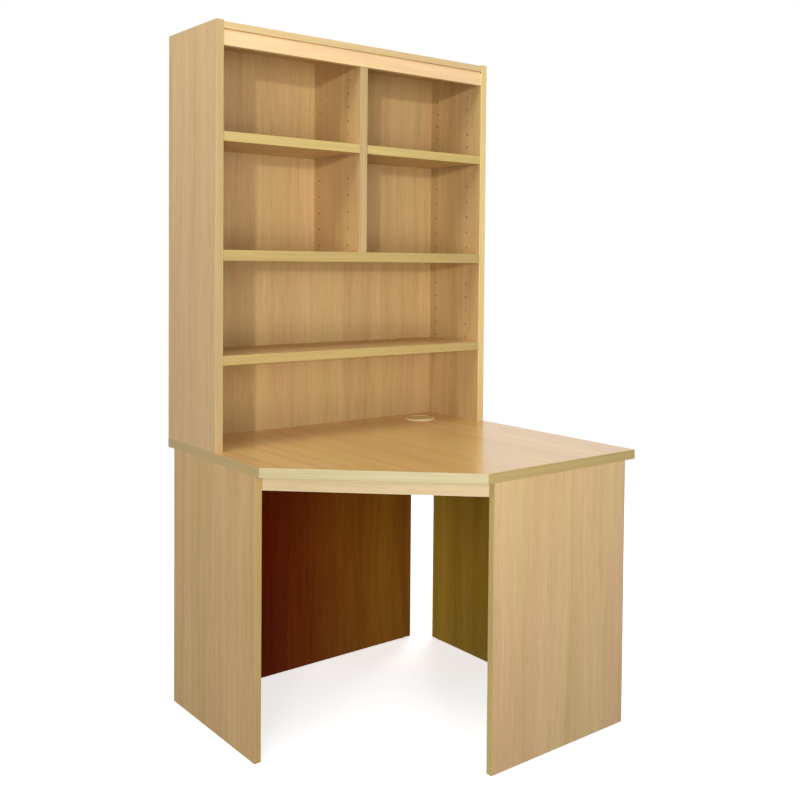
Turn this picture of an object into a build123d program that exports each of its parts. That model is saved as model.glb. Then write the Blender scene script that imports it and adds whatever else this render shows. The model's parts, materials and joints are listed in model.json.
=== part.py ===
from build123d import *
import os
from collections import defaultdict
from math import sqrt

# Corner desk with an overshelf. Millimetres, +Z up, origin on the floor at the centre of the
# square that the desk stands in. The two walls of the room are at +X and +Y, the user sits
# in the -X -Y corner, and the overshelf stands on the desk along the +Y wall.

# ---- driving dimensions -------------------------------------------------------------------
WIDTH = 910.0            # along each wall
SIDE = 520.0             # depth of each end of the desk, from the wall to the cut corner
DESK_HEIGHT = 730.0
DESKTOP = 25.0           # board thicknesses
END_PANEL = 18.0
BACK_PANEL = 15.0
EDGING = 2.0             # plastic edging strips
EDGING_ROUND = 0.8       # their rounded arris

PANEL_SETBACK = 18.0     # front edge of an end panel, from the end of the cut corner
WALL_GAP = 38.0          # rear of the end and back panels, from the wall
CORNER_GAP = 104.0       # end of each back panel, from the wall that it runs towards
GLIDE = 2.0              # the panels stand this far off the floor
GLIDE_R, GLIDE_ROUND = 7.0, 0.8
PEG_R, PEG_LENGTH = 2.5, 12.0    # the glides' pegs
FRONT_RAIL_SETBACK = 28.0
FRONT_RAIL = (18.0, 36.0)  # thickness, height

HUTCH_DEPTH = 286.0
HUTCH_HEIGHT = 1110.0
HUTCH_SIDE = 22.0
HUTCH_TOP = 18.0
TOP_DROP = 3.0           # the top board lies this far below the ends of the side panels
HUTCH_BACK = 15.0
BACK_RECESS = 21.0       # open space behind the overshelf's back
HUTCH_RAIL = (18.0, 42.0)
RAIL_SETBACK = 2.0
SHADOW_GAP = 6.0         # square groove between the top board and the rail
DIVIDER = 25.0
LOOSE_SETBACK = 4.0      # divider and loose shelves, from the front of the side panels
LOWER_SHELF = (954.0, 979.0)     # underside and upper side
MIDDLE_SHELF = (1225.0, 1253.0)
LOOSE_SHELF = (1533.0, 1558.0)
SHELF_END_GAP = 0.8

PIN_R = 2.5              # shelf pins and their holes
PIN_HOLE_DEPTH = 11.0
PIN_PROUD = 8.0
PIN_CLEARANCE = 0.3
PIN_COLUMNS = (65.0, 219.0)      # from the front of the side panels
PIN_ROWS = 5
LOWER_BAY_PINS = (990.0, 42.5)   # height of the lowest row, and the pitch
MIDDLE_BAY_PINS = (1273.5, 48.0)
TOP_BAY_PINS = (1591.0, 39.0)

PORT_FROM_WALLS = 135.0  # cable port, in the back corner of the desktop
PORT_R = 40.0
PORT_FLANGE_R = 49.0
PORT_BORE_R = 37.0
PORT_RISE = 4.0
PORT_DEPTH = 19.0
CAP_NOTCH = (24.0, 24.0)         # width, and distance of its inner end from the centre

CAM_R = 7.5
CAM_REACH = 34.0         # from the joint to the middle of the cam
CAM_PAST_BOLT = 4.5      # the cam runs this far past the middle of its board
CAM_SLOT = (9.0, 1.4, 4.0)       # its cross-shaped slot: length, width, height about the face
BOLT_R = 3.0
BOLT_BITE = 10.0
BOLT_NECK = (2.3, 6.0, 2.0)      # radius, and its start and end before the joint
DOWEL_R = 4.0
DOWEL_LONG = 16.0        # length in the board whose end is joined
DOWEL_SHORT = 12.0       # length in the face of the other board
DOWEL_IN_BACK = 9.0      # the same, in the back of the overshelf
SCREW_R = 2.0
SCREW_HEAD = (4.0, 2.4)  # radius, height
SCREW_SLOT = (4.2, 0.9)  # length, width
BLOCK_SCREW = (26.0, 12.0)       # length, and how deep its head is sunk
HUTCH_SCREW = 55.0
FIT = 0.1                # radial clearance of a fitting in its hole
LOOSE_FIT = 0.6          # the same, where a cam or a screw head takes up the play

# ---- places of the fittings, along X or Y, or heights -------------------------------------
END_CAMS, END_DOWELS = (60.0, 350.0), (110.0, 300.0)
BACK_CAMS, BACK_DOWELS = (-300.0, 250.0), (-200.0, 150.0)
CORNER_CAMS, CORNER_DOWEL = (120.0, 560.0), 340.0
END_GLIDES, BACK_GLIDES = (-20.0, 380.0), (-360.0, 320.0)
FRONT_RAIL_DOWELS = (-130.0, 0.0, 130.0)
HUTCH_FOOT_DOWELS = (230.0, 400.0)
SHELF_CAMS, SHELF_DOWEL = (215.0, 385.0), 300.0
HUTCH_BACK_CAMS, HUTCH_BACK_DOWELS = (850.0, 1300.0, 1700.0), (1050.0, 1500.0)
DIVIDER_FOOT, DIVIDER_HEAD = (215.0, 380.0), (235.0, 390.0)
RAIL_TOP_DOWEL = 290.0
SHELF_BACK_DOWEL = 220.0
HUTCH_BACK_SCREWS, HUTCH_SIDE_SCREWS = (-300.0, 0.0, 300.0), (200.0, 350.0)

# ---- worked out from them -----------------------------------------------------------------
HALF = WIDTH / 2
UNDERSIDE = DESK_HEIGHT - DESKTOP
TOTAL = DESK_HEIGHT + HUTCH_HEIGHT
CUT = HALF - SIDE                        # where the cut corner meets each end
PANEL_FRONT = CUT + PANEL_SETBACK
PANEL_REAR = HALF - WALL_GAP
PANEL_INNER = -HALF + END_PANEL
BACK_END = HALF - CORNER_GAP
HUTCH_FRONT = HALF - HUTCH_DEPTH
HUTCH_INNER = HALF - HUTCH_SIDE
BACK_REAR = HALF - BACK_RECESS
BACK_FRONT = BACK_REAR - HUTCH_BACK
TOP_UPPER = TOTAL - TOP_DROP
TOP_LOWER = TOP_UPPER - HUTCH_TOP
RAIL_BOTTOM = TOP_LOWER - HUTCH_RAIL[1]
RAIL_FRONT = HUTCH_FRONT + RAIL_SETBACK
RAIL_REAR = RAIL_FRONT + HUTCH_RAIL[0]
LOOSE_FRONT = HUTCH_FRONT + LOOSE_SETBACK
PORT = HALF - PORT_FROM_WALLS
PIN_Z = LOOSE_SHELF[0] + PIN_R           # pins that carry the loose shelves
COLUMNS = [HUTCH_FRONT + distance for distance in PIN_COLUMNS]

X, Y, Z = Vector(1, 0, 0), Vector(0, 1, 0), Vector(0, 0, 1)

nodes = {}                    # node name: shape
cuts = defaultdict(list)      # node name: what is drilled or cut out of it
loose_parts = defaultdict(list)   # node name: the separate solids that share it


# ---- shapes -------------------------------------------------------------------------------
def block(x, y, z):
    """A box between the given limits along each axis."""
    size = [limits[1] - limits[0] for limits in (x, y, z)]
    middle = [(limits[0] + limits[1]) / 2 for limits in (x, y, z)]
    return Pos(*middle) * Box(*size)


def prism(points, z):
    """An upright prism over a polygon in plan."""
    outline = make_face(Polyline(*points, close=True))
    return Pos(0, 0, z[0]) * extrude(outline, z[1] - z[0])


def rod(start, direction, radius, length):
    """A round bar from a point, along a direction."""
    place = Plane(origin=start, z_dir=direction)
    return place * Cylinder(radius, length, align=(Align.CENTER, Align.CENTER, Align.MIN))


def swapped(point):
    """The same place seen from the other wall: X and Y change places."""
    return Vector(point.Y, point.X, point.Z)


def rounded_strip(strip, outward):
    """Round the two long arrises of an edging strip's outer face."""
    outer = strip.faces().sort_by(Axis((0, 0, 0), outward))[-1]
    lengths = sorted(edge.length for edge in outer.edges())
    long_edges = [edge for edge in outer.edges() if edge.length > lengths[-2] - 1]
    return fillet(long_edges, EDGING_ROUND)


def edged_board(name, x, y, z, edges):
    """A board with edging strips on the named edges, which lie inside its overall size.

    Edges are written "-x", "+y" and so on. A strip named first runs past the next ones.
    """
    limits = {"x": list(x), "y": list(y), "z": list(z)}
    for edge in edges:
        sign, axis = edge
        strip = {key: tuple(value) for key, value in limits.items()}
        low, high = limits[axis]
        strip[axis] = (low, low + EDGING) if sign == "-" else (high - EDGING, high)
        limits[axis] = [low + EDGING, high] if sign == "-" else [low, high - EDGING]
        outward = {"x": X, "y": Y, "z": Z}[axis] * (-1 if sign == "-" else 1)
        loose_parts[name + "_edging"].append(rounded_strip(block(**strip), outward))
    nodes[name] = block(**limits)


def inset(points, distance):
    """A convex polygon, listed anticlockwise, with every side moved inwards."""
    lines = []
    for start, end in zip(points, points[1:] + points[:1]):
        along = (Vector(*end) - Vector(*start)).normalized()
        normal = Vector(-along.Y, along.X)
        lines.append((Vector(*start) + normal * distance, along))
    corners = []
    for (p, u), (q, v) in zip(lines[-1:] + lines[:-1], lines):
        reach = ((q.X - p.X) * v.Y - (q.Y - p.Y) * v.X) / (u.X * v.Y - u.Y * v.X)
        corner = p + u * reach
        corners.append((corner.X, corner.Y))
    return corners


# ---- fittings -----------------------------------------------------------------------------
def cam_joint(group, board, mate, joint, into, face, thickness):
    """A cam in one board draws in a bolt that is screwed into another.

    joint is the bolt's place on the joint, in the middle of the board's thickness, into is
    the way from the board into its mate, and face is the way out of the cam's hole.
    """
    centre = joint - into * CAM_REACH
    depth = thickness / 2 + CAM_PAST_BOLT
    mouth = centre + face * (thickness / 2)
    bolt_tail = centre + into * 1.0
    cam = rod(mouth, face * -1, CAM_R, depth)
    cam -= rod(centre - into * 0.5, into, BOLT_R + LOOSE_FIT, CAM_R + 1)
    across = into.cross(face)
    for slot_along in (into, across):
        slot_across = across if slot_along is into else into
        slot = Plane(origin=mouth, x_dir=slot_along, z_dir=face) * Box(*CAM_SLOT)
        cam -= slot
    loose_parts[group + "_cams"].append(cam)
    bolt = rod(bolt_tail, into, BOLT_R, CAM_REACH - 1.0 + BOLT_BITE)
    neck_r, neck_start, neck_end = BOLT_NECK
    neck = joint - into * neck_start
    neck_length = neck_start - neck_end
    bolt -= rod(neck, into, BOLT_R + 1, neck_length) - rod(neck, into, neck_r, neck_length)
    loose_parts[group + "_cam_bolts"].append(bolt)
    cuts[board].append(rod(mouth, face * -1, CAM_R + FIT, depth + 0.5))
    cuts[board].append(rod(centre, into, BOLT_R + 1, CAM_REACH))
    cuts[mate].append(rod(joint, into, BOLT_R + FIT, BOLT_BITE + 1))


def dowel_joint(group, board, mate, joint, into, short=DOWEL_SHORT):
    """A wooden dowel across a joint, from the end of a board into its mate."""
    dowel = rod(joint - into * DOWEL_LONG, into, DOWEL_R, DOWEL_LONG + short)
    dowel = chamfer(dowel.edges().filter_by(GeomType.CIRCLE), 1.0)
    loose_parts[group + "_dowels"].append(dowel)
    cuts[board].append(rod(joint - into * (DOWEL_LONG + 1), into, DOWEL_R + FIT, DOWEL_LONG + 1))
    cuts[mate].append(rod(joint, into, DOWEL_R + FIT, short + 0.5))


def screw(group, boards, head, into, length, sunk=0.0):
    """A countersunk screw through the boards, its head flush with or sunk below a face."""
    top = head + into * sunk
    seat = Plane(origin=top, z_dir=into)
    head_r, head_height = SCREW_HEAD
    flare = Cone(head_r, SCREW_R, head_height, align=(Align.CENTER, Align.CENTER, Align.MIN))
    shape = rod(top, into, SCREW_R, length) + seat * flare
    for turn in (0, 90):
        shape -= seat * Rot(0, 0, turn) * Box(*SCREW_SLOT, head_height)
    loose_parts[group].append(shape)
    for board in boards:
        cuts[board].append(rod(top, into, SCREW_R + FIT, length + 1))
    hole_r, hole_height = head_r + LOOSE_FIT / 2, head_height + LOOSE_FIT
    sink = Cone(hole_r, SCREW_R, hole_height, align=(Align.CENTER, Align.CENTER, Align.MIN))
    cuts[boards[0]].append(Plane(origin=top - into * 0.2, z_dir=into) * sink)
    if sunk:
        cuts[boards[0]].append(rod(top, into * -1, hole_r, 60))


# ---- desk ---------------------------------------------------------------------------------
def make_desktop():
    """A square board with the user's corner cut off, and an edging strip on each side."""
    outline = [(HALF, HALF), (-HALF, HALF), (-HALF, CUT), (CUT, -HALF), (HALF, -HALF)]
    core = inset(outline, EDGING)
    levels = (UNDERSIDE, DESK_HEIGHT)
    nodes["desktop"] = prism(core, levels)
    names = ["rear", "left", "front", "right", "wall_side"]
    for index, name in enumerate(names):
        after = (index + 1) % len(names)
        corners = [outline[index], outline[after], core[after], core[index]]
        along = (Vector(*outline[after]) - Vector(*outline[index])).normalized()
        outward = Vector(along.Y, -along.X)
        strip = rounded_strip(prism(corners, levels), outward)
        nodes["desktop_edging_" + name] = strip
    cuts["desktop"].append(rod(Vector(PORT, PORT, UNDERSIDE - 1), Z, PORT_R + FIT, DESKTOP + 2))


def make_desk_panels():
    """The two end panels and the two back panels, which leave the wall corner open."""
    height = (GLIDE, UNDERSIDE)
    across = (-HALF, PANEL_INNER)
    along = (PANEL_FRONT, PANEL_REAR)
    edged_board("end_panel_left", across, along, height, ["-y", "+y"])
    edged_board("end_panel_right", along, across, height, ["-x", "+x"])
    rear = (PANEL_REAR - BACK_PANEL, PANEL_REAR)
    length = (PANEL_INNER, BACK_END)
    edged_board("back_panel_rear", length, rear, height, ["+x"])
    edged_board("back_panel_side", rear, length, height, ["+y"])


def make_front_rail():
    """The rail under the cut corner, between the end panels, with edging underneath."""
    thickness, height = FRONT_RAIL
    front = CUT - HALF + FRONT_RAIL_SETBACK * sqrt(2)    # X + Y on the rail's front face
    rear = front + thickness * sqrt(2)
    plan = [(PANEL_INNER, rear - PANEL_INNER), (PANEL_INNER, front - PANEL_INNER),
            (front - PANEL_INNER, PANEL_INNER), (rear - PANEL_INNER, PANEL_INNER)]
    bottom = UNDERSIDE - height
    nodes["front_rail"] = prism(plan, (bottom + EDGING, UNDERSIDE))
    strip = rounded_strip(prism(plan, (bottom, bottom + EDGING)), Z * -1)
    nodes["front_rail_edging"] = strip
    middle = (front + rear) / 4
    for shift in FRONT_RAIL_DOWELS:
        place = Vector(middle + shift, middle - shift, UNDERSIDE)
        dowel_joint("desk", "front_rail", "desktop", place, Z)
    inward = Vector(1, 1, 0).normalized()
    beside = Vector(1, -1, 0).normalized()
    corner = Vector(PANEL_INNER, rear - PANEL_INNER, 0)
    tips = [corner, corner + Y * 35, corner + Y * 35 + X * 20,
            corner + beside * 35 + inward * 20, corner + beside * 35]
    into_panel = corner + Y * 20 + X * 28 + Z * (UNDERSIDE - 14)
    into_rail = corner + beside * 22 + inward * 28 + Z * (UNDERSIDE - 22)
    for side, place in (("left", lambda point: point), ("right", swapped)):
        name = "rail_block_" + side
        plan = [(place(tip).X, place(tip).Y) for tip in tips]
        nodes[name] = prism(plan, (UNDERSIDE - 30, UNDERSIDE - 5))
        screw("rail_screws", [name, "end_panel_" + side], place(into_panel), place(X) * -1, *BLOCK_SCREW)
        screw("rail_screws", [name, "front_rail"], place(into_rail), place(inward) * -1, *BLOCK_SCREW)


def join_desk():
    """Cam fittings and dowels that hold the desk's panels together."""
    end_middle = -HALF + END_PANEL / 2
    back_middle = PANEL_REAR - BACK_PANEL / 2
    for along in END_CAMS:
        place = Vector(end_middle, along, UNDERSIDE)
        cam_joint("desk", "end_panel_left", "desktop", place, Z, X, END_PANEL)
        cam_joint("desk", "end_panel_right", "desktop", swapped(place), Z, Y, END_PANEL)
    for along in END_DOWELS:
        place = Vector(end_middle, along, UNDERSIDE)
        dowel_joint("desk", "end_panel_left", "desktop", place, Z)
        dowel_joint("desk", "end_panel_right", "desktop", swapped(place), Z)
    for along in BACK_CAMS:
        place = Vector(along, back_middle, UNDERSIDE)
        cam_joint("desk", "back_panel_rear", "desktop", place, Z, Y, BACK_PANEL)
        cam_joint("desk", "back_panel_side", "desktop", swapped(place), Z, X, BACK_PANEL)
    for along in BACK_DOWELS:
        place = Vector(along, back_middle, UNDERSIDE)
        dowel_joint("desk", "back_panel_rear", "desktop", place, Z)
        dowel_joint("desk", "back_panel_side", "desktop", swapped(place), Z)
    for height in CORNER_CAMS:
        place = Vector(PANEL_INNER, back_middle, height)
        cam_joint("desk", "back_panel_rear", "end_panel_left", place, X * -1, Y, BACK_PANEL)
        cam_joint("desk", "back_panel_side", "end_panel_right", swapped(place), Y * -1, X, BACK_PANEL)
    place = Vector(PANEL_INNER, back_middle, CORNER_DOWEL)
    dowel_joint("desk", "back_panel_rear", "end_panel_left", place, X * -1)
    dowel_joint("desk", "back_panel_side", "end_panel_right", swapped(place), Y * -1)


def make_glides():
    """Round plastic glides with a peg, two under each upright panel."""
    end_middle = -HALF + END_PANEL / 2
    back_middle = PANEL_REAR - BACK_PANEL / 2
    feet = [("end_panel_left", Vector(end_middle, along, 0)) for along in END_GLIDES]
    feet += [("end_panel_right", swapped(foot)) for name, foot in feet]
    back_feet = [("back_panel_rear", Vector(along, back_middle, 0)) for along in BACK_GLIDES]
    back_feet += [("back_panel_side", swapped(foot)) for name, foot in back_feet]
    for board, foot in feet + back_feet:
        pad = rod(foot, Z, GLIDE_R, GLIDE)
        pad = fillet(pad.faces().sort_by(Axis.Z)[0].edges(), GLIDE_ROUND)
        pad += rod(foot + Z * GLIDE, Z, PEG_R, PEG_LENGTH)
        loose_parts["floor_glides"].append(pad)
        cuts[board].append(rod(foot + Z * GLIDE, Z, PEG_R + FIT, PEG_LENGTH + 1))


def make_cable_port():
    """A flanged liner in the desktop and a cap that lifts out of it."""
    rim = DESK_HEIGHT + PORT_RISE
    seat = DESK_HEIGHT + 1.2
    seat_r = PORT_R + 1.2
    foot = DESK_HEIGHT - PORT_DEPTH
    profile = [(PORT_BORE_R, foot), (PORT_R, foot), (PORT_R, DESK_HEIGHT), (PORT_FLANGE_R, DESK_HEIGHT),
               (PORT_FLANGE_R, rim - 2.5), (PORT_FLANGE_R - 2.5, rim), (seat_r, rim),
               (seat_r, seat), (PORT_BORE_R, seat)]
    section = make_face(Polyline(*[(r, 0, z) for r, z in profile], close=True))
    liner = revolve(section, Axis.Z)
    arris = liner.edges().filter_by(GeomType.CIRCLE).sort_by(Axis.Z)[-4:]
    liner = fillet([edge for edge in arris if edge.radius > PORT_R + 2], 0.6)
    place = Pos(PORT, PORT, 0)
    nodes["cable_port_liner"] = place * liner
    disc = rod(Vector(0, 0, seat + 0.1), Z, seat_r - 0.3, 2.5)
    disc = fillet(disc.faces().sort_by(Axis.Z)[-1].edges(), 0.5)
    skirt_r = PORT_BORE_R - 0.4
    skirt = rod(Vector(0, 0, seat - 6), Z, skirt_r, 6.2)
    skirt -= rod(Vector(0, 0, seat - 7), Z, skirt_r - 1.6, 7.1)
    width, inner = CAP_NOTCH
    notch = Rot(0, 0, 45) * block((inner, PORT_FLANGE_R), (-width / 2, width / 2), (seat - 8, rim + 2))
    notch = fillet(notch.edges().filter_by(Axis.Z).sort_by(Axis((0, 0, 0), (1, 1, 0)))[:2], 6)
    nodes["cable_port_cap"] = place * (disc + skirt - notch)


# ---- overshelf ----------------------------------------------------------------------------
def pin_holes(board, face, inward, rows):
    """Blind holes for shelf pins in the face of an upright board, in two columns."""
    first, pitch = rows
    for column in COLUMNS:
        for row in range(PIN_ROWS):
            mouth = Vector(face, column, first + row * pitch)
            cuts[board].append(rod(mouth, inward, PIN_R, PIN_HOLE_DEPTH))


def make_hutch_sides():
    """Two side panels that stand on the desktop, drilled on their inner faces."""
    for side, sign in (("left", -1), ("right", 1)):
        name = "hutch_side_" + side
        across = tuple(sorted((sign * HUTCH_INNER, sign * HALF)))
        edged_board(name, across, (HUTCH_FRONT, HALF), (DESK_HEIGHT, TOTAL), ["-y", "+y", "+z"])
        for rows in (LOWER_BAY_PINS, MIDDLE_BAY_PINS, TOP_BAY_PINS):
            pin_holes(name, sign * HUTCH_INNER, X * sign, rows)
        for along in HUTCH_FOOT_DOWELS:
            place = Vector(sign * (HALF - HUTCH_SIDE / 2), along, DESK_HEIGHT)
            dowel_joint("hutch", name, "desktop", place, Z * -1)


def make_hutch_boards():
    """Top board, back, the two fixed shelves and the rail, all between the side panels."""
    span = (-HUTCH_INNER, HUTCH_INNER)
    edged_board("hutch_top", span, (HUTCH_FRONT, HALF), (TOP_LOWER, TOP_UPPER), ["-y", "+y"])
    nodes["hutch_back"] = block(span, (BACK_FRONT, BACK_REAR), (DESK_HEIGHT, TOP_LOWER))
    for name, levels in (("lower_shelf", LOWER_SHELF), ("middle_shelf", MIDDLE_SHELF)):
        edged_board(name, span, (HUTCH_FRONT, BACK_FRONT), levels, ["-y"])
    edged_board("hutch_rail", span, (RAIL_FRONT, RAIL_REAR), (RAIL_BOTTOM, TOP_LOWER), ["-z"])
    groove = block((-HALF, HALF), (RAIL_FRONT - 1, RAIL_FRONT + SHADOW_GAP),
                   (TOP_LOWER - SHADOW_GAP, TOP_LOWER + 1))
    cuts["hutch_rail"].append(groove)


def make_divider():
    """The upright divider of the two upper bays, notched at the front for the rail."""
    across = (-DIVIDER / 2, DIVIDER / 2)
    edged_board("divider", across, (LOOSE_FRONT, BACK_FRONT), (MIDDLE_SHELF[1], TOP_LOWER), ["-y"])
    notch = block((-DIVIDER, DIVIDER), (HUTCH_FRONT, RAIL_REAR), (RAIL_BOTTOM, TOP_LOWER + 1))
    cuts["divider"].append(notch)
    cuts["divider_edging"].append(notch)
    for sign in (-1, 1):
        for rows in (MIDDLE_BAY_PINS, TOP_BAY_PINS):
            pin_holes("divider", sign * DIVIDER / 2, X * -sign, rows)
    for along in DIVIDER_FOOT:
        dowel_joint("hutch", "divider", "middle_shelf", Vector(0, along, MIDDLE_SHELF[1]), Z * -1)
    for along in DIVIDER_HEAD:
        dowel_joint("hutch", "divider", "hutch_top", Vector(0, along, TOP_LOWER), Z)


def join_hutch():
    """Cam fittings, dowels and screws that hold the overshelf together and to the desk."""
    back_middle = (BACK_FRONT + BACK_REAR) / 2
    rail_middle = (RAIL_FRONT + RAIL_REAR) / 2
    levels = (("hutch_top", (TOP_LOWER, TOP_UPPER)), ("middle_shelf", MIDDLE_SHELF),
              ("lower_shelf", LOWER_SHELF))
    for side, sign in (("left", -1), ("right", 1)):
        name = "hutch_side_" + side
        out = X * sign
        face = sign * HUTCH_INNER
        for board, (lower, upper) in levels:
            middle = (lower + upper) / 2
            for along in SHELF_CAMS:
                cam_joint("hutch", board, name, Vector(face, along, middle), out, Z * -1, upper - lower)
            dowel_joint("hutch", board, name, Vector(face, SHELF_DOWEL, middle), out)
        for height in HUTCH_BACK_CAMS:
            place = Vector(face, back_middle, height)
            cam_joint("hutch", "hutch_back", name, place, out, Y, HUTCH_BACK)
        for height in HUTCH_BACK_DOWELS:
            dowel_joint("hutch", "hutch_back", name, Vector(face, back_middle, height), out)
        rail_end = Vector(face, rail_middle, (RAIL_BOTTOM + TOP_LOWER) / 2 - 3)
        dowel_joint("hutch", "hutch_rail", name, rail_end, out)
        rail_top = Vector(sign * RAIL_TOP_DOWEL, RAIL_REAR - DOWEL_R - 2, TOP_LOWER)
        dowel_joint("hutch", "hutch_rail", "hutch_top", rail_top, Z)
        for board, (lower, upper) in levels[1:]:
            place = Vector(sign * SHELF_BACK_DOWEL, BACK_FRONT, (lower + upper) / 2)
            dowel_joint("hutch", board, "hutch_back", place, Y, DOWEL_IN_BACK)
    for along in HUTCH_BACK_SCREWS:
        head = Vector(along, back_middle, UNDERSIDE)
        screw("hutch_screws", ["desktop", "hutch_back"], head, Z, HUTCH_SCREW)
    for along in HUTCH_SIDE_SCREWS:
        head = Vector(HALF - HUTCH_SIDE / 2, along, UNDERSIDE)
        screw("hutch_screws", ["desktop", "hutch_side_right"], head, Z, HUTCH_SCREW)


def make_loose_shelves():
    """The two shelves at one height that rest on pins and slide out to the front.

    A stopped groove in the underside of each end takes the pins, and is open at the rear.
    """
    lower, upper = LOOSE_SHELF
    rear = BACK_FRONT - 0.5
    groove_start = COLUMNS[0] - PIN_R - PIN_CLEARANCE
    groove_top = PIN_Z + PIN_R + PIN_CLEARANCE
    bays = {"left": (-HUTCH_INNER, -DIVIDER / 2), "right": (DIVIDER / 2, HUTCH_INNER)}
    for side, (low, high) in bays.items():
        name = "loose_shelf_" + side
        ends = (low + SHELF_END_GAP, high - SHELF_END_GAP)
        edged_board(name, ends, (LOOSE_FRONT, rear), LOOSE_SHELF, ["-y"])
        uprights = {low: ("hutch_side_left" if side == "left" else "divider", X),
                    high: ("divider" if side == "left" else "hutch_side_right", X * -1)}
        for face, (upright, inwards) in uprights.items():
            reach = face + inwards.X * (PIN_PROUD + 1)
            groove = block(tuple(sorted((face, reach))), (groove_start, rear + 1), (lower - 1, groove_top))
            cuts[name].append(groove)
            for column in COLUMNS:
                mouth = Vector(face, column, PIN_Z)
                pin = rod(mouth - inwards * (PIN_HOLE_DEPTH - 1), inwards, PIN_R - FIT,
                          PIN_HOLE_DEPTH - 1 + PIN_PROUD)
                loose_parts["shelf_pins_" + side].append(pin)
                cuts[upright].append(rod(mouth, inwards * -1, PIN_R, PIN_HOLE_DEPTH))


# ---- build and write ----------------------------------------------------------------------
def finish():
    """Cut the holes, gather the groups, and write one STEP file for each node."""
    for name, solids in loose_parts.items():
        nodes[name] = Compound(children=solids) if len(solids) > 1 else solids[0]
    os.makedirs("parts", exist_ok=True)
    for name, shape in nodes.items():
        if cuts[name]:
            shape = shape - cuts[name]
        shape.label = name
        export_step(shape, os.path.join("parts", name + ".step"))
        print(name, len(shape.solids()), round(shape.volume))


make_desktop()
make_desk_panels()
make_front_rail()
join_desk()
make_glides()
make_cable_port()
make_hutch_sides()
make_hutch_boards()
make_divider()
join_hutch()
make_loose_shelves()
finish()
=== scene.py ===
"""Looks for a corner desk with a shelf unit standing on it: materials, floor, light and camera.

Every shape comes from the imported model, in metres. The room's walls would stand at +X and +Y,
the shelf unit stands along +Y, and the user sits in the -X -Y corner.
"""

import json
import math

import bpy
from mathutils import Matrix, Vector


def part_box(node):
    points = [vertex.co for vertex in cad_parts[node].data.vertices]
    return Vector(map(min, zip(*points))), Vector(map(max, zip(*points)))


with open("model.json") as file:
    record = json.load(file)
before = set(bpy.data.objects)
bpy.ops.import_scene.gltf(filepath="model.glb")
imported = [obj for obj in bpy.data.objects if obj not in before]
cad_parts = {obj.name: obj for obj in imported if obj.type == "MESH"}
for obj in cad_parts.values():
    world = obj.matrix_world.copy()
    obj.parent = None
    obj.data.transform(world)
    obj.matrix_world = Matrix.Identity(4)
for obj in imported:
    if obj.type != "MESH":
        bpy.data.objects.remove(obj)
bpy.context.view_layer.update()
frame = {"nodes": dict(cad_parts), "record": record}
nodes = frame["nodes"]

MM = 0.001
WHITE = (1.0, 1.0, 1.0, 1.0)


def srgb(red, green, blue):
    """A linear colour with alpha from sRGB values of 0 to 255."""
    linear = []
    for value in (red, green, blue):
        v = value / 255
        linear.append(v / 12.92 if v <= 0.04045 else ((v + 0.055) / 1.055) ** 2.4)
    return (*linear, 1.0)


# ---------------------------------------------------------------- shader graphs


class Graph:
    """A material's or world's node tree, with short calls for the nodes that are used here."""

    def __init__(self, owner):
        owner.use_nodes = True
        self.tree = owner.node_tree
        self.tree.nodes.clear()

    def add(self, kind, settings=None, **inputs):
        """A node of that kind. A link goes in where an input is a socket, and a value otherwise."""
        node = self.tree.nodes.new(kind)
        for name, value in (settings or {}).items():
            setattr(node, name, value)
        for name, value in inputs.items():
            self.put(node.inputs[name.replace("_", " ")], value)
        return node

    def put(self, socket, value):
        if isinstance(value, bpy.types.NodeSocket):
            self.tree.links.new(value, socket)
        else:
            socket.default_value = value

    def fill(self, kind, *values, **settings):
        """A node of that kind with its inputs filled in order, for inputs that share a name."""
        node = self.tree.nodes.new(kind)
        for name, value in settings.items():
            setattr(node, name, value)
        for socket, value in zip(node.inputs, values):
            self.put(socket, value)
        return node

    def math(self, operation, *values):
        return self.fill("ShaderNodeMath", *values, operation=operation).outputs[0]

    def vector(self, operation, *values):
        return self.fill("ShaderNodeVectorMath", *values, operation=operation).outputs[0]

    def mix(self, amount, a, b, blend="MIX"):
        """Colours a and b, mixed by amount."""
        node = self.fill("ShaderNodeMix", amount, data_type="RGBA", blend_type=blend)
        self.put(node.inputs[6], a)
        self.put(node.inputs[7], b)
        return node.outputs[2]

    def band(self, value, low, high, out_low=0.0, out_high=1.0):
        """value from low to high, eased to out_low to out_high."""
        node = self.add(
            "ShaderNodeMapRange",
            {"interpolation_type": "SMOOTHSTEP"},
            Value=value,
            From_Min=low,
            From_Max=high,
            To_Min=out_low,
            To_Max=out_high,
        )
        return node.outputs[0]

    def noise(self, vector, scale=1.0, detail=2.0, output=0):
        """output 0 is a height, and 1 a colour."""
        node = self.add("ShaderNodeTexNoise", Vector=vector, Scale=scale, Detail=detail)
        return node.outputs[output]

    def place(self, vector, location=(0, 0, 0), rotation=(0, 0, 0), scale=(1, 1, 1)):
        node = self.add(
            "ShaderNodeMapping",
            Vector=vector,
            Location=location,
            Rotation=rotation,
            Scale=scale,
        )
        return node.outputs[0]


def new_material(name):
    material = bpy.data.materials.new(name)
    return material, Graph(material)


def object_space(graph):
    return graph.add("ShaderNodeTexCoord").outputs["Object"]


def finish_material(graph, shader):
    graph.add("ShaderNodeOutputMaterial", Surface=shader.outputs[0])


def finish_surface(graph, colour, roughness, relief, strength, depth, specular=0.5, metallic=0.0):
    """The shader at the end of a material, with a bump that follows relief to that depth."""
    bump = graph.add("ShaderNodeBump", Strength=strength, Distance=depth, Height=relief)
    shader = graph.add(
        "ShaderNodeBsdfPrincipled",
        Base_Color=colour,
        Roughness=roughness,
        Specular_IOR_Level=specular,
        Metallic=metallic,
        Normal=bump.outputs[0],
    )
    finish_material(graph, shader)


# ---------------------------------------------------------------- boards

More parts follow.
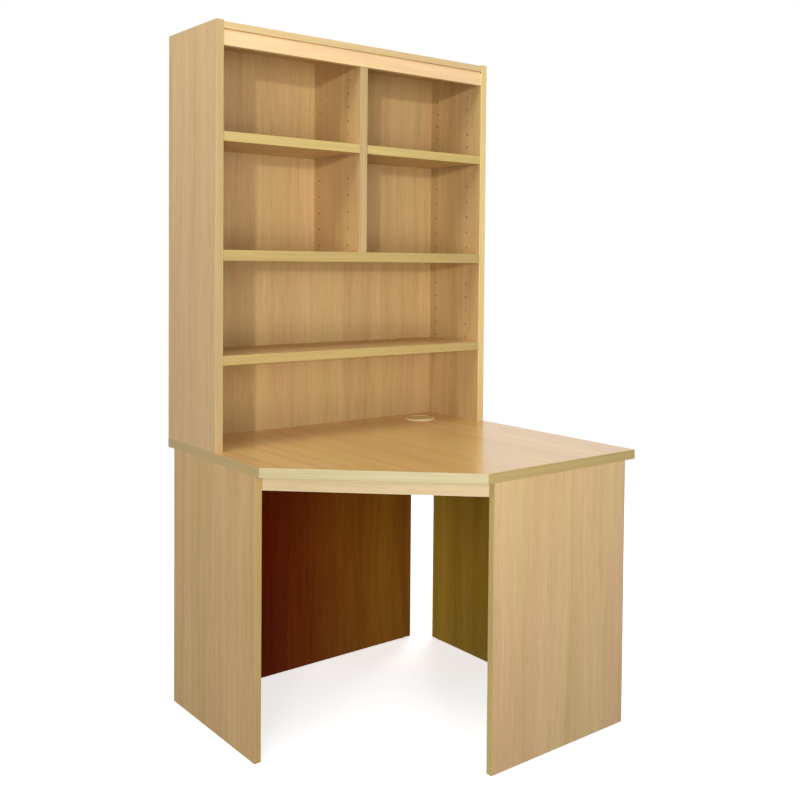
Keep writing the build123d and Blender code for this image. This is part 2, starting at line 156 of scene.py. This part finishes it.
# Turns that bring the grain's direction to local Z.
GRAIN_TURN = {
    "x": (0, -math.pi / 2, 0),
    "y": (math.pi / 2, 0, 0),
    "z": (0, 0, 0),
}
PINKISH = (1.0, 0.945, 0.975, 1.0)
YELLOWISH = (0.985, 1.0, 0.93, 1.0)
# Raw chipboard, darkened with painted shade for the depth of holes and cuts.
CHIP_AND_SHADE_LIGHT = srgb(128, 88, 50)
CHIP_AND_SHADE_DARK = srgb(70, 42, 22)
RUBBED = srgb(240, 222, 184)
SKIN = 0.1 * MM  # how deep in a board its core starts
CORE_ROUGHNESS = 0.9
CHIP_SCALE = 700.0
SCUFF_SCALE = 60.0
WEAR_REACH = 5 * MM  # the rubbed look fades out this far from an arris
WEAR_TINT = 0.18
WEAR_DULLS = 0.12
SWAY = 50 * MM
SWAY_SIZE = (140 * MM, 500 * MM)

# The layers of a printed grain: size across the grain and along it, noise detail, the noise
# values where the layer starts and is full, and its weight between the light and dark tones.
BOARD_PRINT = {
    "figure": (60 * MM, 1500 * MM, 1.5, 0.28, 0.72, 0.34),
    "bands": (20 * MM, 750 * MM, 3.0, 0.28, 0.74, 0.32),
    "streaks": (6 * MM, 340 * MM, 3.0, 0.3, 0.76, 0.24),
    "flecks": (3 * MM, 50 * MM, 0.0, 0.6, 0.72, 0.18),
}
EDGE_PRINT = {
    "bands": (9 * MM, 500 * MM, 2.0, 0.3, 0.7, 0.5),
    "lines": (1.6 * MM, 120 * MM, 3.0, 0.35, 0.75, 0.4),
    "specks": (0.6 * MM, 12 * MM, 1.0, 0.6, 0.8, 0.25),
}
FIBRES = (1.2 * MM, 35 * MM, 2.0, 0.5, 0.8)  # their weight is the board's own
TINT = (45 * MM, 900 * MM, 1.0)
EDGE_ROUGHNESS = 0.38
RELIEF = 0.2 * MM


def across_and_along(across, along):
    """A mapping scale for a pattern of that size across the grain and along it, in metres."""
    return (1 / across, 1 / across, 1 / along)


def grain_space(graph, direction, offset):
    """Object coordinates turned so that the grain runs along Z, and moved so that boards differ."""
    where = object_space(graph)
    if direction == "diagonal":
        where = graph.place(where, rotation=(0, 0, math.pi / 4))
        direction = "x"
    return graph.place(where, rotation=GRAIN_TURN[direction], location=offset)


def swayed(graph, where, reach):
    """The grain's lines drift sideways by up to half of reach, slowly along the board."""
    slow = graph.place(where, scale=across_and_along(*SWAY_SIZE))
    drift = graph.noise(slow, detail=1.0, output=1)
    swing = graph.vector("SUBTRACT", drift, (0.5, 0.5, 0.5))
    return graph.vector("ADD", where, graph.vector("MULTIPLY", swing, (reach, reach, 0.0)))


def grain_noise(graph, where, across, along, detail, stretch=(1.0, 1.0)):
    """Noise of that size across the grain and along it, in metres, enlarged by stretch."""
    scale = across_and_along(across * stretch[0], along * stretch[1])
    return graph.noise(graph.place(where, scale=scale), detail=detail)


def printed(graph, where, layers, stretch=(1.0, 1.0)):
    """The noise of each layer, by name, and how far toward the dark tone they come to together."""
    noises, depth = {}, 0.0
    for name, (across, along, detail, start, full, weight) in layers.items():
        noises[name] = grain_noise(graph, where, across, along, detail, stretch)
        depth = graph.math("MULTIPLY_ADD", graph.band(noises[name], start, full), weight, depth)
    return noises, depth


def depths(graph, box):
    """How far inside its box a point of the board lies, and how far it is from the nearest arris.

    Both are negative lengths, and 0 on a face or an arris."""
    low, high = box
    offset = graph.vector("SUBTRACT", object_space(graph), tuple((low + high) / 2))
    past = graph.vector("SUBTRACT", graph.vector("ABSOLUTE", offset), tuple((high - low) / 2))
    x, y, z = graph.add("ShaderNodeSeparateXYZ", Vector=past).outputs
    greater, less = graph.math("MAXIMUM", x, y), graph.math("MINIMUM", x, y)
    inside = graph.math("MAXIMUM", greater, z)
    arris = graph.math("MAXIMUM", less, graph.math("MINIMUM", greater, z))
    return inside, arris


def laminate(name, direction, tone, offset, gloss, stretch=(1.0, 1.0), box=None, inner=None):
    """Melamine-faced board with a printed wood grain under a satin, finely pored surface.

    tone is the print's light and dark colour; gloss is roughness, specular level and the pores'
    strength. stretch enlarges the figure across and along the grain. With a box, holes show the
    core: raw chipboard, darkened with painted shade for their depth. inner is (axis, tones,
    along, start, end): faces that look down that axis get painted shade instead of the print,
    the first tone at start and the second at end, for the shade in the knee space."""
    material, graph = new_material(name)
    base_roughness, specular, pores = gloss
    where = grain_space(graph, direction, offset)
    bent = swayed(graph, where, SWAY / stretch[1])
    noises, depth = printed(graph, bent, {**BOARD_PRINT, "fibres": (*FIBRES, pores)}, stretch)
    fibres = noises["fibres"]
    colour = graph.mix(depth, *tone)
    # Painted shade: faces toward the knee space take dark tones in place of the print, darker at
    # one end.
    if inner:
        axis, (first, second), along, start, end = inner
        coordinates = graph.add("ShaderNodeTexCoord")
        place = graph.add("ShaderNodeSeparateXYZ", Vector=coordinates.outputs["Object"])
        facing = graph.add("ShaderNodeSeparateXYZ", Vector=coordinates.outputs["Normal"])
        gone = graph.band(place.outputs[along], start, end)
        painted_shade = graph.mix(gone, graph.mix(depth, *first), graph.mix(depth, *second))
        looks_in = graph.math("LESS_THAN", facing.outputs[axis], -0.5)
        colour = graph.mix(looks_in, colour, painted_shade)
    tint = grain_noise(graph, bent, *TINT, stretch)
    tinted = graph.mix(graph.band(tint, 0.35, 0.65), PINKISH, YELLOWISH)
    colour = graph.mix(1.0, colour, tinted, "MULTIPLY")

    roughness = graph.math("MULTIPLY_ADD", graph.band(fibres, 0.48, 0.7), pores / 2, base_roughness)
    if box:
        inside, arris = depths(graph, box)
        scuffs = graph.band(graph.noise(where, scale=SCUFF_SCALE, detail=3.0), 0.45, 0.7)
        worn = graph.math("MULTIPLY", graph.band(arris, -WEAR_REACH, 0.0), scuffs)
        colour = graph.mix(graph.math("MULTIPLY", worn, WEAR_TINT), colour, RUBBED)
        roughness = graph.math("MULTIPLY_ADD", worn, WEAR_DULLS, roughness)
        # The core in holes and cuts: chipboard colour with painted shade.
        chips = graph.noise(where, scale=CHIP_SCALE, detail=2.0)
        core = graph.mix(graph.band(chips, 0.35, 0.65), CHIP_AND_SHADE_DARK, CHIP_AND_SHADE_LIGHT)
        within = graph.math("LESS_THAN", inside, -SKIN)
        colour = graph.mix(within, colour, core)
        rough_core = graph.math("MULTIPLY", within, CORE_ROUGHNESS)
        roughness = graph.math("MAXIMUM", roughness, rough_core)
    finish_surface(graph, colour, roughness, fibres, pores, RELIEF, specular)
    return material


def edging(name, direction, tone, offset):
    """Plastic edging with the same print, drawn out finer along the strip."""
    material, graph = new_material(name)
    noises, depth = printed(graph, grain_space(graph, direction, offset), EDGE_PRINT)
    roughness = graph.math("MULTIPLY_ADD", noises["lines"], 0.08, EDGE_ROUGHNESS)
    finish_surface(graph, graph.mix(depth, *tone), roughness, noises["lines"], 0.1, RELIEF)
    return material


# ---------------------------------------------------------------- fittings

GRIT = 0.6 * MM
FINE_RELIEF = 0.1 * MM
TOOL_MARK_SCALE = 1200.0


def moulded(name, colour, shade, roughness=0.45, specular=0.5):
    """Moulded plastic with a fine spark-eroded texture."""
    material, graph = new_material(name)
    where = object_space(graph)
    cloud = graph.band(graph.noise(where, scale=25.0), 0.3, 0.7)
    grit = graph.noise(where, scale=1 / GRIT)
    gritty = graph.math("MULTIPLY_ADD", grit, 0.15, roughness)
    finish_surface(graph, graph.mix(cloud, colour, shade), gritty, grit, 0.2, FINE_RELIEF, specular)
    return material


def metal(name, colour, shade, roughness):
    """Bright or cast metal with faint tarnish and fine tool marks."""
    material, graph = new_material(name)
    where = object_space(graph)
    tarnish = graph.band(graph.noise(where, scale=90.0, detail=3.0), 0.35, 0.7)
    marks = graph.noise(where, scale=TOOL_MARK_SCALE)
    marked = graph.math("MULTIPLY_ADD", marks, 0.2, roughness)
    mixed = graph.mix(tarnish, colour, shade)
    finish_surface(graph, mixed, marked, marks, 0.15, FINE_RELIEF, metallic=1.0)
    return material


def raw_beech(name, colour, shade):
    """Raw beech with short flecks."""
    material, graph = new_material(name)
    flecks = graph.noise(object_space(graph), scale=900.0, detail=3.0)
    mixed = graph.mix(graph.band(flecks, 0.35, 0.7), colour, shade)
    finish_material(graph, graph.add("ShaderNodeBsdfPrincipled", Base_Color=mixed, Roughness=0.7))
    return material


# ---------------------------------------------------------------- what each node is made of, with light and shade painted into some tones

# BOARD and EDGE are the board's and the edging's own print. The other tones are lit and shaded
# copies of these, set part by part: painted light and painted shade for how the lights fall on each
# part.
BOARD = (srgb(215, 183, 128), srgb(188, 152, 99))
BOARD_PAINTED_LIGHT = (srgb(220, 188, 136), srgb(194, 158, 108))
BOARD_PAINTED_BRIGHT_LIGHT = (srgb(227, 196, 146), srgb(203, 168, 118))
BOARD_PAINTED_SHADE = (srgb(210, 180, 126), srgb(183, 149, 97))
DESKTOP_PAINTED_LIGHT = (srgb(226, 187, 122), srgb(204, 159, 94))
HUTCH_RAIL_PAINTED_LIGHT = (srgb(249, 220, 168), srgb(230, 196, 142))
DESK_RAIL_PAINTED_LIGHT = (srgb(216, 196, 152), srgb(194, 170, 126))
EDGE = (srgb(192, 167, 105), srgb(174, 147, 87))
EDGE_PAINTED_WARM_LIGHT = (srgb(195, 168, 117), srgb(179, 150, 99))
EDGE_PAINTED_PALE_LIGHT = (srgb(188, 175, 130), srgb(172, 155, 108))
SHADED_EDGE = (srgb(188, 158, 96), srgb(170, 140, 80))
EDGE_PAINTED_BRIGHT_LIGHT = (srgb(234, 206, 142), srgb(220, 190, 126))
EDGE_PAINTED_OLIVE_LIGHT = (srgb(206, 182, 114), srgb(190, 163, 96))
EDGE_PAINTED_TOP_LIGHT = (srgb(222, 193, 138), srgb(206, 176, 122))
# Painted shade for the knee space under the desk: dark tones in place of the print.
RED_PAINTED_SHADE = (srgb(150, 40, 6), srgb(112, 21, 3))
OLIVE_PAINTED_SHADE = (srgb(155, 113, 37), srgb(122, 80, 22))
PALE_PAINTED_SHADE = (srgb(178, 155, 65), srgb(146, 122, 46))

# Each part's tone. Where it differs from BOARD and EDGE, the tone holds painted light and painted
# shade.
TONES = {
    "desktop": DESKTOP_PAINTED_LIGHT,
    "end_panel_left": BOARD_PAINTED_LIGHT,
    "end_panel_right": BOARD_PAINTED_BRIGHT_LIGHT,
    "hutch_back": BOARD_PAINTED_SHADE,
    "hutch_side_right": BOARD_PAINTED_SHADE,
    "hutch_side_left": BOARD_PAINTED_LIGHT,
    "hutch_rail": HUTCH_RAIL_PAINTED_LIGHT,
    "front_rail": DESK_RAIL_PAINTED_LIGHT,
    "front_rail_edging": DESK_RAIL_PAINTED_LIGHT,
    "hutch_rail_edging": HUTCH_RAIL_PAINTED_LIGHT,
    "desktop_edging_front": EDGE_PAINTED_PALE_LIGHT,
    "desktop_edging_left": SHADED_EDGE,
    "end_panel_left_edging": SHADED_EDGE,
    "hutch_side_left_edging": EDGE_PAINTED_WARM_LIGHT,
    "hutch_side_right_edging": EDGE_PAINTED_BRIGHT_LIGHT,
    "hutch_top_edging": EDGE_PAINTED_TOP_LIGHT,
    "loose_shelf_left_edging": EDGE_PAINTED_OLIVE_LIGHT,
    "loose_shelf_right_edging": EDGE_PAINTED_OLIVE_LIGHT,
    "divider_edging": EDGE_PAINTED_WARM_LIGHT,
}
# Painted shade on the back panels' faces toward the knee space: the axis that they look down, their
# two tones, and the axis and span along which the first tone turns into the second.
PAINTED_KNEE_SHADE = {
    "back_panel_rear": ("Y", (RED_PAINTED_SHADE, OLIVE_PAINTED_SHADE), "X", -0.3, 0.3),
    "back_panel_side": ("X", (PALE_PAINTED_SHADE, PALE_PAINTED_SHADE), "Y", -0.3, 0.3),
}
# Roughness, specular level and the pores' strength.
SATIN = (0.46, 0.3, 0.14)
MATT = (0.6, 0.12, 0.14)
KNEE_PANEL_GLOSS = (0.6, 0.07, 0.14)
POLISHED = (0.2, 0.5, 0.03)
GLOSS = {
    "desktop": POLISHED,
    "back_panel_rear": KNEE_PANEL_GLOSS,
    "back_panel_side": KNEE_PANEL_GLOSS,
    "end_panel_left": MATT,
}
STRETCH = {"desktop": (1.7, 2.6)}
CORELESS = ("front_rail", "hutch_rail")  # boards that their box doesn't fit, so no core is shown
BOARD_GRAIN = {
    "desktop": "y",
    "front_rail": "diagonal",
    "hutch_rail": "x",
    "hutch_top": "x",
    "lower_shelf": "x",
    "middle_shelf": "x",
    "loose_shelf_left": "x",
    "loose_shelf_right": "x",
}
EDGE_GRAIN = {
    "desktop_edging_front": "diagonal",
    "front_rail_edging": "diagonal",
    "desktop_edging_left": "y",
    "desktop_edging_wall_side": "y",
    "desktop_edging_right": "x",
    "desktop_edging_rear": "x",
}
LENGTHWISE_PARTS = ("shelf", "hutch_top", "hutch_rail")
BOARD_STEP = (0.37, 0.53, 0.29)  # each board is cut from its own place in the print

slot_of = {part["node"]: part["material_slot"] for part in frame["record"]["subparts"]}

fitting_materials = {
    "port_plastic": moulded("port_plastic", srgb(240, 220, 176), srgb(230, 208, 162), 0.5, 0.2),
    "block_plastic": moulded("block_plastic", srgb(200, 170, 120), srgb(186, 154, 104)),
    "glide_plastic": moulded("glide_plastic", srgb(96, 72, 50), srgb(74, 54, 38)),
    "dowel_wood": raw_beech("dowel_wood", srgb(222, 184, 140), srgb(176, 128, 84)),
    "screw_steel": metal("screw_steel", srgb(200, 196, 184), srgb(160, 156, 146), 0.28),
    "cam_zinc": metal("cam_zinc", srgb(186, 186, 184), srgb(150, 150, 150), 0.42),
    "bolt_steel": metal("bolt_steel", srgb(190, 188, 184), srgb(150, 150, 148), 0.3),
    "pin_steel": metal("pin_steel", srgb(205, 203, 198), srgb(170, 168, 164), 0.24),
}
cap_plastic = moulded("cap_plastic", srgb(234, 212, 158), srgb(224, 200, 144), 0.5, 0.2)

for index, name in enumerate(sorted(nodes)):
    kind = slot_of[name]
    offset = tuple(step * index for step in BOARD_STEP)
    if kind == "board":
        made = laminate(
            name,
            BOARD_GRAIN.get(name, "z"),
            TONES.get(name, BOARD),
            offset,
            GLOSS.get(name, SATIN),
            STRETCH.get(name, (1.0, 1.0)),
            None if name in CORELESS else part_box(name),
            PAINTED_KNEE_SHADE.get(name),
        )
    elif kind == "edging":
        lengthwise = any(part in name for part in LENGTHWISE_PARTS)
        direction = EDGE_GRAIN.get(name, "x" if lengthwise else "z")
        made = edging(name, direction, TONES.get(name, EDGE), offset)
    else:
        made = cap_plastic if name == "cable_port_cap" else fitting_materials[kind]
    slots = nodes[name].data.materials
    if not slots:
        slots.append(made)
    for place in range(len(slots)):
        slots[place] = made

# ---------------------------------------------------------------- floor

FLOOR_RADIUS = 6.0
FLOOR_FADE = (1.6, 4.5)
FLOOR_SIDES = 96
FLOOR_GLOW = 0.66
FLOOR_COLOUR = (0.9, 0.9, 0.9, 1.0)


def make_floor():
    """A round pale floor that fades out, and glows a little so that it comes out near white."""
    turns = [2 * math.pi * i / FLOOR_SIDES for i in range(FLOOR_SIDES)]
    ring = [(FLOOR_RADIUS * math.cos(turn), FLOOR_RADIUS * math.sin(turn), 0.0) for turn in turns]
    mesh = bpy.data.meshes.new("floor")
    mesh.from_pydata(ring, [], [list(range(FLOOR_SIDES))])
    floor = bpy.data.objects.new("floor", mesh)
    bpy.context.scene.collection.objects.link(floor)
    material, graph = new_material("floor_pale")
    length = graph.fill("ShaderNodeVectorMath", object_space(graph), operation="LENGTH")
    far = graph.band(length.outputs["Value"], *FLOOR_FADE)
    matt = graph.add("ShaderNodeBsdfDiffuse", Color=FLOOR_COLOUR)
    glow = graph.add("ShaderNodeEmission", Color=WHITE, Strength=FLOOR_GLOW)
    pale = graph.fill("ShaderNodeAddShader", matt.outputs[0], glow.outputs[0])
    clear = graph.add("ShaderNodeBsdfTransparent")
    faded = graph.fill("ShaderNodeMixShader", far, pale.outputs[0], clear.outputs[0])
    finish_material(graph, faded)
    mesh.materials.append(material)
    floor.visible_diffuse = False


make_floor()

# ---------------------------------------------------------------- light

# Distant lights: the azimuth that they shine toward, the slope that they come down at and their
# width, in degrees, and their strength. The level one shines up a little under the shelves, so
# that the bays stay bright to their tops.
SUNS = {
    "key": (42.0, 5.3, 2.0, 0.82),
    "level": (10.0, -10.0, 20.0, 0.56),
}
# Round area lights: place, target, diameter and power.
SOFT_LIGHTS = {
    "front": ((-0.55, -2.5, 1.7), (0.0, 0.0, 1.1), 1.1, 17.0),
    "low": ((-1.5, -1.5, 0.75), (0.0, 0.0, 0.45), 1.2, 15.0),
    "left": ((-2.3, -0.3, 3.3), (0.0, 0.1, 1.0), 1.6, 40.0),
    "top": ((-0.3, -0.6, 3.2), (-0.1, -0.1, 0.7), 1.6, 15.0),
}
# Behind the desk, for its outer faces alone: nothing shiny mirrors this one.
BACK_LIGHT = ((2.2, 2.0, 2.2), (0.0, 0.0, 0.8), 1.6, 46.0)
# As in SUNS, for the knee space's back panels alone: the other lights in front leave them out.
KNEE_SUN = (42.0, 5.3, 50.0, 2.7)
KNEE_COLOUR = (1.0, 0.8, 0.5)
SKY = 0.14
UNDER_SKY = 0.06
HORIZON = 0.1
SHADED_NODES = [name for name in nodes if name.startswith("back_panel")]


def compass(azimuth, slope):
    """A direction that slopes down, both in degrees. Azimuth 0 is toward +Y and 90 toward +X."""
    azimuth, slope = math.radians(azimuth), math.radians(slope)
    level = math.cos(slope)
    return (math.sin(azimuth) * level, math.cos(azimuth) * level, -math.sin(slope))


def add_light(name, kind, direction, power):
    data = bpy.data.lights.new(name, kind)
    data.energy = power
    light = bpy.data.objects.new(name, data)
    light.rotation_euler = Vector(direction).to_track_quat("-Z", "Y").to_euler()
    bpy.context.scene.collection.objects.link(light)
    return light


def add_sun(name, azimuth, slope, width, strength):
    sun = add_light(name, "SUN", compass(azimuth, slope), strength)
    sun.data.angle = math.radians(width)
    return sun


def add_soft_light(name, place, target, size, power):
    light = add_light(name, "AREA", Vector(target) - Vector(place), power)
    light.location = place
    light.data.shape = "DISK"
    light.data.size = size
    return light


def link_light(light, members, state):
    """INCLUDE: the light reaches these objects alone. EXCLUDE: it reaches all but these."""
    group = bpy.data.collections.new(light.name + "_link")
    for member in members:
        group.objects.link(member)
    for entry in group.collection_objects:
        entry.light_linking.link_state = state
    light.light_linking.receiver_collection = group


shaded = [nodes[name] for name in SHADED_NODES]
for name, settings in SUNS.items():
    link_light(add_sun(name, *settings), shaded, "EXCLUDE")
for name, settings in SOFT_LIGHTS.items():
    link_light(add_soft_light(name, *settings), shaded, "EXCLUDE")
add_soft_light("back", *BACK_LIGHT).visible_glossy = False
knee = add_sun("knee", *KNEE_SUN)
knee.data.color = KNEE_COLOUR
link_light(knee, shaded, "INCLUDE")

# The world lights the scene dimly, and shows as plain white.
world = bpy.data.worlds.new("studio")
bpy.context.scene.world = world
sky = Graph(world)
height = sky.add("ShaderNodeSeparateXYZ", Vector=sky.add("ShaderNodeTexCoord").outputs["Generated"])
strength = sky.band(height.outputs["Z"], -HORIZON, HORIZON, UNDER_SKY, SKY)
ambient = sky.add("ShaderNodeBackground", Color=WHITE, Strength=strength)
white = sky.add("ShaderNodeBackground", Color=WHITE, Strength=1.0)
lighting = sky.add("ShaderNodeLightPath").outputs["Is Diffuse Ray"]
seen = sky.fill("ShaderNodeMixShader", lighting, white.outputs[0], ambient.outputs[0])
sky.add("ShaderNodeOutputWorld", Surface=seen.outputs[0])

# ---------------------------------------------------------------- camera

CAMERA_PLACE = (-1.6337, -2.2460, 1.2273)
CAMERA_AZIMUTH = 40.418
CAMERA_SLOPE = 1.718
CAMERA_ROLL = math.radians(0.601)
SENSOR_WIDTH = 36.0
FOCAL_LENGTH = 45.8
SHIFT_X = -0.0957
SHIFT_Y = -0.1338

camera_data = bpy.data.cameras.new("camera")
camera_data.sensor_width = SENSOR_WIDTH
camera_data.lens = FOCAL_LENGTH
camera_data.shift_x = SHIFT_X
camera_data.shift_y = SHIFT_Y
camera = bpy.data.objects.new("camera", camera_data)
bpy.context.scene.collection.objects.link(camera)
forward = Vector(compass(CAMERA_AZIMUTH, CAMERA_SLOPE))
side = forward.cross(Vector((0, 0, 1))).normalized()
up = side.cross(forward)
right = side * math.cos(CAMERA_ROLL) + up * math.sin(CAMERA_ROLL)
up = right.cross(forward)
turned = Matrix((right, up, -forward)).transposed().to_4x4()
camera.matrix_world = Matrix.Translation(CAMERA_PLACE) @ turned
bpy.context.scene.camera = camera
bpy.context.scene.view_settings.view_transform = "Standard"
